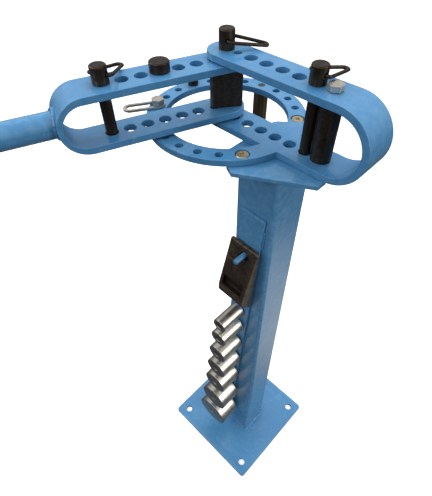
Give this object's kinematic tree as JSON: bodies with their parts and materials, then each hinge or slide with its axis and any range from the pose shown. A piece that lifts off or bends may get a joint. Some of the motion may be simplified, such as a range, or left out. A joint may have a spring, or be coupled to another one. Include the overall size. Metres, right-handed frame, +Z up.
{
  "type": "manual tube bender",
  "caption": "Floor-standing manual tube bender: square post on a base plate, drilled ring frame, swinging U frame with a long handle, loop pins, and a rack of round dies.",
  "frame": {"origin": "on the floor under the post's axis, on the underside of the base plate", "axes": "+Z up; +X from the pivot towards the closed end of the fixed frame; the dies hang on the post's -Y side"},
  "size_m": [0.5398, 0.9961, 0.9416],
  "materials": {
    "blue_paint": "semi-gloss mid-blue paint over steel",
    "blackened_steel": "black-oxide turned steel",
    "browned_block": "dark browned steel",
    "turned_steel": "bright turned steel with a thin oil film",
    "zinc_plate": "bright zinc plating",
    "yellow_zinc": "yellow-passivated zinc plating"
  },
  "bodies": {
    "stand": {"base_plate": "blue_paint", "post": "blue_paint", "top_plate": "blue_paint", "main_frame": "blue_paint", "pivot_washer": "blackened_steel", "spacer_post": "blackened_steel", "spacer_bolt": "zinc_plate", "spacer_screw": "zinc_plate", "plate_screw_back": "yellow_zinc", "plate_screw_front": "yellow_zinc", "plate_nut_back": "zinc_plate", "plate_nut_front": "zinc_plate", "hanging_peg": "blackened_steel", "rack_strip": "blue_paint", "block_peg": "blue_paint", "die_peg_1": "blue_paint", "die_peg_2": "blue_paint", "die_peg_3": "blue_paint", "die_peg_4": "blue_paint", "die_peg_5": "blue_paint", "die_peg_6": "blue_paint", "die_peg_7": "blue_paint"},
    "swing": {"swing_frame": "blue_paint", "handle_tube": "blue_paint"},
    "pivot_pin": {"pivot_pin": "blackened_steel"},
    "pivot_bail": {"pivot_bail": "blackened_steel"},
    "frame_pin": {"frame_pin": "blackened_steel"},
    "frame_bail": {"frame_bail": "blackened_steel"},
    "swing_pin": {"swing_pin": "blackened_steel"},
    "swing_bail": {"swing_bail": "blackened_steel"},
    "headed_pin": {"headed_pin": "blackened_steel"},
    "former": {"centre_former": "blackened_steel"},
    "stop_peg": {"stop_peg": "blackened_steel"},
    "gauge_bolt": {"gauge_bolt": "zinc_plate", "gauge_nut": "zinc_plate"},
    "gauge_link": {"gauge_link": "zinc_plate"},
    "angle_block": {"angle_block": "browned_block"},
    "die_1": {"die_1": "turned_steel"},
    "die_2": {"die_2": "turned_steel"},
    "die_3": {"die_3": "turned_steel"},
    "die_4": {"die_4": "turned_steel"},
    "die_5": {"die_5": "turned_steel"},
    "die_6": {"die_6": "turned_steel"},
    "die_7": {"die_7": "turned_steel"}
  },
  "joints": [
    {"name": "swing_hinge", "type": "hinge", "parent": "stand", "child": "swing", "pos_m": [-0.0795, 0, 0.88], "axis": [0, 0, 1], "range_deg": [-16, 84]},
    {"name": "pivot_pin_lift", "type": "slide", "parent": "stand", "child": "pivot_pin", "axis": [0, 0, 1], "range_m": [0, 0.1]},
    {"name": "pivot_bail_lift", "type": "hinge", "parent": "pivot_pin", "child": "pivot_bail", "pos_m": [-0.0795, 0, 0.9311], "axis": [0.766, -0.6428, 0], "range_deg": [0, 70]},
    {"name": "frame_pin_lift", "type": "slide", "parent": "stand", "child": "frame_pin", "axis": [0, 0, 1], "range_m": [0, 0.09]},
    {"name": "frame_bail_lift", "type": "hinge", "parent": "frame_pin", "child": "frame_bail", "pos_m": [0.0371, 0, 0.9309], "axis": [0.9877, -0.1564, 0], "range_deg": [0, 70]},
    {"name": "swing_pin_lift", "type": "slide", "parent": "swing", "child": "swing_pin", "axis": [0, 0, 1], "range_m": [0, 0.08]},
    {"name": "swing_bail_lift", "type": "hinge", "parent": "swing_pin", "child": "swing_bail", "pos_m": [-0.12863, -0.13003, 0.9209], "axis": [0.8829, 0.4695, 0], "range_deg": [0, 70]},
    {"name": "headed_pin_lift", "type": "slide", "parent": "swing", "child": "headed_pin", "axis": [0, 0, 1], "range_m": [0, 0.02]},
    {"name": "former_spin", "type": "hinge", "parent": "stand", "child": "former", "pos_m": [-0.0795, 0, 0.88], "axis": [0, 0, 1], "continuous": true},
    {"name": "stop_peg_lift", "type": "slide", "parent": "stand", "child": "stop_peg", "axis": [0, 0, 1], "range_m": [0, 0.02]},
    {"name": "gauge_turn", "type": "hinge", "parent": "stand", "child": "gauge_bolt", "pos_m": [-0.15243, -0.04557, 0.847], "axis": [0, 0, 1], "continuous": true},
    {"name": "gauge_slide", "type": "slide", "parent": "gauge_bolt", "child": "gauge_link", "axis": [0.5075, 0.8616, 0], "range_m": [0, 0.034]},
    {"name": "block_pull", "type": "slide", "parent": "stand", "child": "angle_block", "axis": [0, -1, 0], "range_m": [0, 0.03]},
    {"name": "die_1_pull", "type": "slide", "parent": "stand", "child": "die_1", "axis": [0, -1, 0], "range_m": [0, 0.05]},
    {"name": "die_2_pull", "type": "slide", "parent": "stand", "child": "die_2", "axis": [0, -1, 0], "range_m": [0, 0.05]},
    {"name": "die_3_pull", "type": "slide", "parent": "stand", "child": "die_3", "axis": [0, -1, 0], "range_m": [0, 0.05]},
    {"name": "die_4_pull", "type": "slide", "parent": "stand", "child": "die_4", "axis": [0, -1, 0], "range_m": [0, 0.05]},
    {"name": "die_5_pull", "type": "slide", "parent": "stand", "child": "die_5", "axis": [0, -1, 0], "range_m": [0, 0.05]},
    {"name": "die_6_pull", "type": "slide", "parent": "stand", "child": "die_6", "axis": [0, -1, 0], "range_m": [0, 0.05]},
    {"name": "die_7_pull", "type": "slide", "parent": "stand", "child": "die_7", "axis": [0, -1, 0], "range_m": [0, 0.05]}
  ]
}
